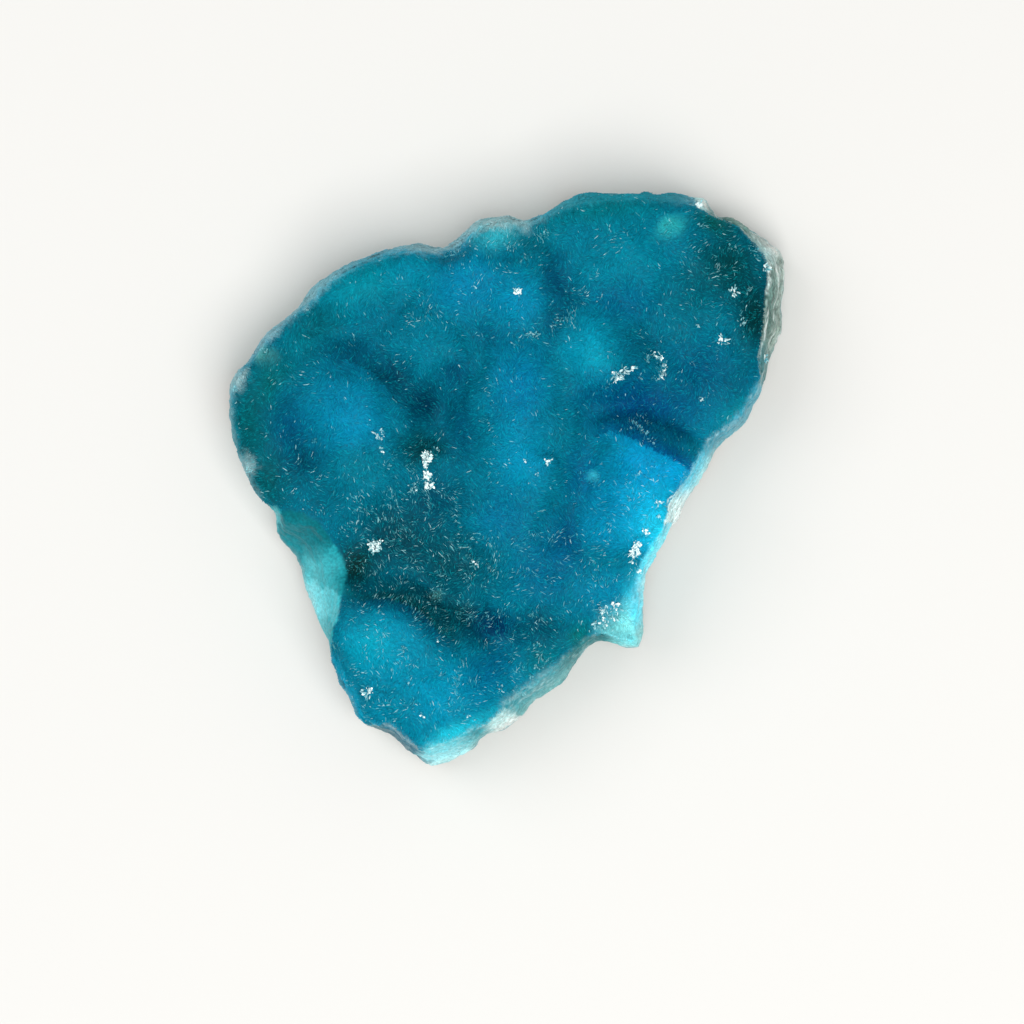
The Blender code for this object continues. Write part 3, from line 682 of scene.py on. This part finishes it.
def skin_samples(mesh, count, chance, wanted):
    """Random places on the mesh where wanted is high: the triangle and the weights of its corners."""
    mesh.calc_loop_triangles()
    corners = np.empty(len(mesh.loop_triangles) * 3, np.int32)
    mesh.loop_triangles.foreach_get("vertices", corners)
    corners = corners.reshape(-1, 3)
    places = points_of(mesh)[corners]
    area = np.linalg.norm(np.cross(places[:, 1] - places[:, 0], places[:, 2] - places[:, 0]), axis=1)
    weight = area * wanted[corners].mean(axis=1)
    picked = chance.choice(len(corners), count, p=weight / weight.sum())
    u, v = chance.random((2, count))
    u, v = np.where(u + v > 1, 1 - u, u), np.where(u + v > 1, 1 - v, v)
    return corners[picked], np.stack([1 - u - v, u, v], axis=1)


def at_samples(values, corners, weights):
    return (values[corners] * weights[..., None]).sum(axis=1)


def unit(vectors):
    return vectors / np.linalg.norm(vectors, axis=1)[:, None]


def whitened(tints, shares):
    """The tints with this share of white in them, through pale blue where it is small."""
    shares = shares[:, None]
    white = linear(GLINT_AND_CRYSTAL_PALE_BLUE) + shares**2 * (linear(GLINT_AND_CRYSTAL_WHITE) - linear(GLINT_AND_CRYSTAL_PALE_BLUE))
    return tints + shares * (white - tints)


def frames(ups, headings):
    """The directions along, across and up of pieces that stand on ups and head that way."""
    across = unit(np.cross(ups, headings))
    return np.stack([np.cross(across, ups), across, ups], axis=1)


def copies(shape, roots, axes, sizes):
    """The shape's corners at each root, turned to its axes and stretched to its sizes."""
    return roots[:, None, :] + (shape[None] * sizes[:, None, :]) @ axes


def repeated_mesh(name, points, faces, colours):
    """One mesh of many copies: points and colours are copy by corner, faces are of one copy."""
    count, corners = points.shape[:2]
    loops = (faces[None] + corners * np.arange(count)[:, None, None]).ravel().astype(np.int32)
    mesh = bpy.data.meshes.new(name)
    mesh.vertices.add(count * corners)
    set_points(mesh, points.reshape(-1, 3))
    mesh.loops.add(len(loops))
    mesh.loops.foreach_set("vertex_index", loops)
    mesh.polygons.add(count * len(faces))
    mesh.polygons.foreach_set("loop_start", np.arange(0, len(loops), faces.shape[1], dtype=np.int32))
    mesh.update(calc_edges=True)
    add_colour(mesh, "tint", colours.reshape(-1, 3))
    obj = bpy.data.objects.new(name, mesh)
    bpy.context.scene.collection.objects.link(obj)
    return obj


points = points_of(stone.data)
crisp_break = (break_kept[:, GLOW] < 0.1) & (break_widths < 1.06)
grown = np.where((broken < 0.5) & ~crisp_break, 1 - broken, 0)
grown *= smooth_step(-0.05, 0.25, normals_of(stone.data)[:, 2])
chance = np.random.default_rng(NEEDLE_SEED)
corners, weights = skin_samples(stone.data, NEEDLE_COUNT, chance, grown)
roots = at_samples(points, corners, weights)
calm = unit(at_samples(calm_normals, corners, weights))
skin_tints = at_samples(grown_tint, corners, weights)
swirl = 2 * math.pi * fractal(roots, SWIRL_SIZE, 2, 2.2)
swirl += NEEDLE_TURN * chance.normal(size=NEEDLE_COUNT)
headings = NEEDLE_HEADING * np.stack([np.cos(swirl), np.sin(swirl), np.zeros(NEEDLE_COUNT)], axis=1)
headings[:, :2] += calm[:, :2]
ups = unit(calm + NEEDLE_LEAN * chance.normal(size=calm.shape))
axes = frames(ups, headings)
sizes = np.stack([
    chance.uniform(*NEEDLE_LENGTH, NEEDLE_COUNT) / 2,
    chance.uniform(*NEEDLE_WIDTH, NEEDLE_COUNT) / 2,
    (chance.uniform(*NEEDLE_RISE, NEEDLE_COUNT) + NEEDLE_SINK) / 2,
], axis=1)
# Painted glints: a share of the needles is whitened, standing in for light flashing off their facets
glint_chance = np.full(NEEDLE_COUNT, FEW_GLINTS)
for x, y, radius, share in GLINT_ZONES:
    distance = np.hypot(roots[:, 0] - x, roots[:, 1] - y) / radius
    glint_chance = np.maximum(glint_chance, share * smooth_step(1.2, 0.6, distance))
glint_chance *= 1.8 * np.clip(0.6 + 2.4 * fractal(roots, 1.1, 2, 8.8), 0.1, 3.0)
pale = chance.random(NEEDLE_COUNT) < glint_chance
sizes[pale, 0] *= chance.uniform(*GLINT_LENGTH_SHARE, pale.sum())
sizes[pale, 1] *= chance.uniform(*GLINT_WIDTH_SHARE, pale.sum())
beside_break = at_samples(break_widths[:, None] < 1.35, corners, weights)[:, 0]
sizes[:, 0] *= 1 - 0.5 * beside_break
sizes[pale, 2] += GLINT_RISE
roots += ups * (sizes[:, 2:] - NEEDLE_SINK)
lightness = np.exp(LIGHTNESS_SPREAD * chance.normal(size=NEEDLE_COUNT))
shiny = chance.random(NEEDLE_COUNT) < SHEEN_CHANCE
sheen_share = np.where(shiny, chance.uniform(*SHEEN_SHARE, NEEDLE_COUNT), 0)
glint_share = np.where(pale, 0.12 + 0.66 * chance.random(NEEDLE_COUNT) ** 2.2, 0)
needle_tints = skin_tints * lightness[:, None]
needle_tints += sheen_share[:, None] * (linear(SHEEN) - needle_tints)
needle_tints = whitened(needle_tints, glint_share)
needle_points = copies(NEEDLE_CORNERS, roots, axes, sizes)
# Painted light and shade: each needle's ridge is lighter and its sunk corners darker, so it reads as a lit
# fibre
lit_ridge_corner_tints = needle_tints[:, None, :] * np.array([1.06, 1.06, 0.92, 0.92])[:, None]
corner_sides = NEEDLE_CORNERS[:, 1:2] * np.array([0.0, 0.75, 0.0]) + np.array([0.0, 0.0, 1.0])
corner_normals = unit((np.tile(corner_sides, (NEEDLE_COUNT, 1, 1)) @ axes).reshape(-1, 3)).reshape(-1, 4, 3)


def druse_material():
    material, tree, shader = new_material("hemimorphite needles")
    tint = add_node(tree, "ShaderNodeAttribute", attribute_name="tint")
    clouds = add_group(tree, CLOUDS, Scale=2400.0, Contrast=1.4)
    cloudy = scaled_colour(tree, tint.outputs["Color"], 0.92, 1.08, clouds.outputs["Cloud"])
    tree.links.new(cloudy, shader.inputs["Base Color"])
    shader.inputs["Roughness"].default_value = 0.35
    shader.inputs["Specular IOR Level"].default_value = 0.015
    return material


DRUSE = druse_material()
FIELD_EDGES_X = (-8.5, 7.0)
FIELD_EDGE_Y = 3.0
column = np.digitize(roots[:, 0], FIELD_EDGES_X)
for column_number, side in enumerate(("left", "middle", "right")):
    for far_or_near, row in (("far", roots[:, 1] >= FIELD_EDGE_Y), ("near", roots[:, 1] < FIELD_EDGE_Y)):
        here = (column == column_number) & row
        druse = repeated_mesh(
            f"druse_{far_or_near}_{side}", needle_points[here], NEEDLE_FACES, lit_ridge_corner_tints[here]
        )
        druse.data.normals_split_custom_set_from_vertices(corner_normals[here].reshape(-1, 3).tolist())
        druse.data.materials.append(DRUSE)
        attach(druse, "root")

# The clear crystals
# Colourless to white hemimorphite that grew last: small prisms, blades and stubs in sprays,
# rings and rows, set on the blue crust with their roots in it.

PRISM_SEED = 31
PRISM_CORNERS = np.array([
    (-1, -1, -1), (1, -1, -1), (1, 1, -1), (-1, 1, -1),
    (-1, -1, 0.55), (1, -1, 0.55), (1, 1, 0.55), (-1, 1, 0.55), (0.3, 0, 1),
], float)
PRISM_FACES = np.array([
    (0, 3, 2), (0, 2, 1), (0, 1, 5), (0, 5, 4), (1, 2, 6), (1, 6, 5), (2, 3, 7), (2, 7, 6),
    (3, 0, 4), (3, 4, 7), (4, 5, 8), (5, 6, 8), (6, 7, 8), (7, 4, 8),
])
PRISM_SINK = 0.12
PRISM_WIDTH = (0.03, 0.075)
PRISM_LENGTH_SHARE = (0.5, 1.3)
BLADE_WIDENING = 0.035
BLADE_THICKNESS = 0.04
BLADE_LENGTH_SHARE = 0.8
STUB_LENGTH_SHARE = 0.45
BLADED_CLUSTER = 0.8
SNOWY_CLUSTER = 1.0
# Each spray or part of a ring or row: x, y, radius, how many crystals, their length, and how
# white it is. A snowy one, at 1, has as many stubs again, which close its gaps.
CLEAR_CLUSTERS = [
    # The chain in the hollow left of the ridge, and the bits around it
    (-7.3, 1.95, 0.50, 34, 0.42, 1.0), (-7.35, 1.25, 0.22, 9, 0.34, 1.0),
    (-7.25, 0.35, 0.36, 24, 0.42, 1.0),
    (-7.1, -0.5, 0.42, 18, 0.40, 1.0), (-6.5, 2.75, 0.18, 6, 0.3, 0.7), (-7.6, 3.3, 0.3, 5, 0.25, 0.3),
    (-8.6, -0.7, 0.45, 12, 0.30, 0.8), (-8.2, -0.2, 0.3, 6, 0.28, 0.6), (-8.5, 1.0, 0.4, 6, 0.25, 0.35),
    (-11.5, 4.05, 0.38, 18, 0.38, 0.95), (-11.3, 2.65, 0.22, 7, 0.30, 0.8),
    (-10.9, 1.2, 0.25, 7, 0.30, 0.6),
    (-10.3, 2.2, 0.4, 7, 0.28, 0.35),
    # The sunken middle left
    (-12.1, -6.15, 0.55, 40, 0.45, 1.0), (-11.5, -5.9, 0.35, 10, 0.35, 0.8),
    (-2.9, -7.7, 0.36, 14, 0.38, 0.8),
    (-3.3, -7.0, 0.3, 6, 0.3, 0.5), (-6.5, -10.9, 0.48, 26, 0.26, 0.38),
    (-4.4, -12.4, 0.36, 16, 0.26, 0.35),
    (-1.7, -12.3, 0.25, 9, 0.26, 0.5), (2.2, -12.4, 0.26, 9, 0.26, 0.45), (-13.4, -8.0, 0.7, 9, 0.28, 0.3),
    # The near lumps
    (-12.7, -19.35, 0.52, 28, 0.42, 0.95), (-9.4, -15.5, 0.24, 9, 0.32, 0.7),
    (-6.25, -14.75, 0.10, 3, 0.26, 1.0),
    (-7.65, -21.6, 0.16, 5, 0.28, 0.8), (-4.5, -17.9, 0.45, 12, 0.34, 0.5),
    (-3.5, -21.5, 0.12, 4, 0.26, 0.9),
    (-0.6, -19.1, 0.35, 10, 0.32, 0.75), (1.5, -19.45, 0.22, 6, 0.3, 0.7), (2.8, -15.2, 0.28, 9, 0.30, 0.6),
    (3.1, -16.3, 0.30, 8, 0.32, 0.7), (2.8, -17.1, 0.26, 6, 0.32, 0.6), (2.2, -17.95, 0.20, 4, 0.3, 0.5),
    # The bright lump and the corner
    (8.9, -11.8, 0.50, 20, 0.42, 0.95), (10.0, -11.6, 0.50, 18, 0.45, 0.95),
    (9.0, -13.0, 0.44, 22, 0.40, 0.95),
    (8.1, -13.2, 0.24, 10, 0.36, 0.95), (9.8, -12.6, 0.25, 5, 0.4, 0.9), (11.9, -6.0, 0.36, 20, 0.42, 1.0),
    (11.75, -6.7, 0.46, 24, 0.42, 1.0), (11.6, -7.4, 0.3, 9, 0.4, 0.9), (12.1, -8.4, 0.18, 6, 0.3, 0.9),
    (13.8, -2.15, 0.22, 9, 0.34, 0.95), (13.75, -3.35, 0.18, 7, 0.32, 0.85),
    (12.7, -4.8, 0.28, 10, 0.34, 0.8),
    (11.1, -1.9, 0.18, 6, 0.28, 0.5), (9.45, -4.0, 0.18, 6, 0.28, 0.6), (10.6, -2.4, 0.14, 3, 0.28, 0.6),
    (8.2, -0.45, 0.55, 12, 0.28, 0.3), (12.0, 0.4, 0.14, 4, 0.28, 0.7),
    # The row along the far edge of the bright lump
    (11.75, 4.95, 0.22, 5, 0.34, 0.5), (12.2, 4.5, 0.26, 5, 0.34, 0.4), (12.65, 4.0, 0.22, 5, 0.34, 0.55),
    (13.0, 3.5, 0.26, 5, 0.34, 0.5), (13.35, 3.05, 0.2, 4, 0.34, 0.6), (13.6, 6.9, 0.12, 3, 0.26, 0.6),
    # The ridge and the far side
    (3.7, 1.7, 0.30, 10, 0.34, 0.95), (1.6, 1.5, 0.16, 4, 0.3, 0.9), (0.3, 1.55, 0.14, 3, 0.3, 0.7),
    (2.8, 0.5, 0.14, 4, 0.3, 0.9), (0.95, 17.05, 0.30, 16, 0.38, 1.0),
    (2.6, 13.05, 0.42, 14, 0.36, 0.75), (-3.0, 17.6, 0.12, 3, 0.3, 0.7), (0.1, 21.1, 0.3, 6, 0.4, 0.5),
    (-4.6, 20.6, 0.3, 6, 0.36, 0.5), (3.4, 22.2, 0.4, 6, 0.36, 0.45), (5.0, 14.6, 0.4, 6, 0.36, 0.45),
    (17.6, 25.1, 0.4, 16, 0.22, 1.0), (17.5, 23.2, 0.2, 5, 0.28, 0.6), (14.6, 22.9, 0.55, 12, 0.26, 0.3),
    # Right of the ridge: the bright spray and the ring beside it
    (10.1, 9.35, 0.42, 34, 0.48, 0.95), (10.6, 9.75, 0.42, 18, 0.5, 0.95),
    (11.45, 10.05, 0.24, 9, 0.44, 0.95),
    (12.15, 9.3, 0.16, 4, 0.34, 0.8), (9.3, 8.6, 0.3, 5, 0.3, 0.4), (12.8, 10.9, 0.24, 7, 0.40, 0.7),
    (13.5, 11.45, 0.22, 8, 0.44, 0.8), (14.1, 11.2, 0.2, 8, 0.44, 0.8), (14.45, 10.45, 0.2, 10, 0.46, 0.95),
    (14.45, 9.85, 0.2, 10, 0.46, 0.95), (14.1, 9.3, 0.2, 8, 0.44, 0.9), (13.5, 9.4, 0.2, 4, 0.3, 0.5),
    # The dark green corner and the right side
    (20.7, 17.1, 0.40, 18, 0.44, 0.9), (22.1, 17.4, 0.3, 8, 0.36, 0.6), (21.5, 14.35, 0.28, 11, 0.38, 0.75),
    (19.8, 12.55, 0.5, 16, 0.44, 0.95), (17.45, 14.05, 0.18, 6, 0.36, 0.9),
    (18.0, 7.45, 0.2, 7, 0.34, 0.95),
    (15.5, 12.6, 0.4, 5, 0.3, 0.4), (23.8, 19.4, 0.34, 16, 0.4, 0.9), (23.9, 11.1, 0.3, 12, 0.3, 0.9),
    (16.4, 17.0, 0.3, 4, 0.3, 0.4), (20.5, 21.2, 0.5, 8, 0.3, 0.5), (22.6, 20.9, 0.4, 8, 0.3, 0.6),
    # The left edge
    (-24.9, 8.3, 0.3, 9, 0.22, 0.6), (-22.0, 11.7, 0.25, 7, 0.22, 0.7), (-17.6, 3.7, 0.3, 7, 0.28, 0.35),
    (-23.6, 1.0, 0.40, 14, 0.22, 0.5),
]

chance = np.random.default_rng(PRISM_SEED)
clusters = np.array(CLEAR_CLUSTERS)
in_each = clusters[:, 3] * (1 + (clusters[:, 5] >= SNOWY_CLUSTER))
cluster = np.repeat(clusters, in_each.astype(int), axis=0)
prism_count = len(cluster)
angles = chance.uniform(0, 2 * math.pi, prism_count)
kind = chance.random(prism_count)
stub = (cluster[:, 5] >= SNOWY_CLUSTER) & (kind < 0.5)
blade = (cluster[:, 5] >= BLADED_CLUSTER) & (kind > 0.8)
reach = cluster[:, 2] * chance.uniform(0.1, 1.0, prism_count) ** 0.7 * np.where(blade | stub, 0.8, 1.0)
outward = np.stack([np.cos(angles), np.sin(angles), np.zeros(prism_count)], axis=1)
wanted_places = cluster[:, :2] + outward[:, :2] * reach[:, None]
top = np.nonzero(normals_of(stone.data)[:, 2] > 0.1)[0]
finder = KDTree(len(top))
for number, index in enumerate(top):
    finder.insert((points[index, 0], points[index, 1], 0), number)
finder.balance()
found = top[[finder.find((x, y, 0))[1] for x, y in wanted_places]]
roots = np.concatenate([wanted_places, points[found, 2:]], axis=1)
lean = (reach / cluster[:, 2])[:, None] * chance.uniform(0.3, 1.1, prism_count)[:, None]
standing = calm_normals[found] + outward * lean + 0.35 * chance.normal(size=(prism_count, 3))
turned = angles + chance.normal(size=prism_count)
lying = np.stack([np.cos(turned), np.sin(turned), np.zeros(prism_count)], axis=1)
lying += calm_normals[found] * chance.uniform(0.25, 0.9, prism_count)[:, None]
standing = unit(np.where(blade[:, None], lying, standing))
lengths = cluster[:, 4] * chance.uniform(*PRISM_LENGTH_SHARE, prism_count)
lengths *= np.where(stub, STUB_LENGTH_SHARE, np.where(blade, BLADE_LENGTH_SHARE, 1.0))
widths = chance.uniform(*PRISM_WIDTH, prism_count) + np.where(blade | stub, BLADE_WIDENING, 0)
thicknesses = np.where(blade, BLADE_THICKNESS, 0.7 * widths)
sizes = np.stack([widths, thicknesses, (lengths + PRISM_SINK) / 2], axis=1)
roots += standing * (sizes[:, 2:] - PRISM_SINK)
whiteness = cluster[:, 5] * (0.35 + 0.65 * chance.random(prism_count) ** 0.6)
whiteness = np.where(blade | stub, 1.0, whiteness)
prism_tints = whitened(grown_tint[found], whiteness)
flat_spin = np.cross(standing, calm_normals[found])
spin = np.where(blade[:, None], flat_spin, chance.normal(size=(prism_count, 3)))
clear_crystals = repeated_mesh(
    "clear_crystals",
    copies(PRISM_CORNERS, roots, frames(standing, spin), sizes),
    PRISM_FACES,
    prism_tints[:, None, :] * np.array([0.85] * 4 + [1.0] * 5)[:, None],
)
clear_crystals.data.polygons.foreach_set("use_smooth", np.zeros(prism_count * len(PRISM_FACES), bool))


def clear_material():
    material, tree, shader = new_material("clear hemimorphite")
    tint = add_node(tree, "ShaderNodeAttribute", attribute_name="tint")
    tree.links.new(tint.outputs["Color"], shader.inputs["Base Color"])
    shader.inputs["Roughness"].default_value = 0.12
    shader.inputs["IOR"].default_value = 1.5
    return material


clear_crystals.data.materials.append(clear_material())
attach(clear_crystals, "root")

# The floor, the light and the camera
# A plain pale table with soft studio light. The camera looks straight down, as the photo's does.

FLOOR_SIZE = 1.6
KEY_POWER = 4.4
FILL_POWER = 2.8
SURROUNDINGS = 0.56
VIEW_WIDTH = 0.0948
VIEW_MIDDLE = (0.00051, -0.00301)
VIEW_HEIGHT = 0.42
OUTLINE_HEIGHT = 0.004
SENSOR = 36.0

bpy.ops.object.select_all(action="DESELECT")
bpy.ops.mesh.primitive_plane_add(size=FLOOR_SIZE, location=(0, 0, 0))
floor = bpy.context.view_layer.objects.active
floor.name = "floor"
material, tree, shader = new_material("pale table")
shader.inputs["Base Color"].default_value = (0.68, 0.674, 0.655, 1.0)
shader.inputs["Roughness"].default_value = 0.7
floor.data.materials.append(material)


def soft_light(name, place, size, power, colour):
    """A square area light that faces the stone."""
    light = bpy.data.lights.new(name, "AREA")
    light.size = size
    light.energy = power
    light.color = colour
    lamp = bpy.data.objects.new(name, light)
    bpy.context.scene.collection.objects.link(lamp)
    lamp.location = place
    lamp.rotation_euler = (-Vector(place)).to_track_quat("-Z", "Y").to_euler()
    return lamp


soft_light("key light", (0.14, -0.26, 0.68), 0.55, KEY_POWER, (1.0, 0.99, 0.97))
soft_light("fill light", (-0.55, 0.25, 0.70), 0.6, FILL_POWER, (0.97, 0.99, 1.0))

world = bpy.data.worlds.new("studio")
world.use_nodes = True
world.node_tree.nodes["Background"].inputs["Color"].default_value = (1.0, 1.0, 1.0, 1.0)
world.node_tree.nodes["Background"].inputs["Strength"].default_value = SURROUNDINGS
bpy.context.scene.world = world
bpy.context.scene.view_settings.view_transform = "Standard"

camera = bpy.data.objects.new("camera", bpy.data.cameras.new("camera"))
bpy.context.scene.collection.objects.link(camera)
camera.location = (*VIEW_MIDDLE, VIEW_HEIGHT)
camera.data.sensor_width = SENSOR
camera.data.lens = SENSOR * (VIEW_HEIGHT - OUTLINE_HEIGHT) / VIEW_WIDTH
camera.data.clip_start = 0.01
bpy.context.scene.camera = camera
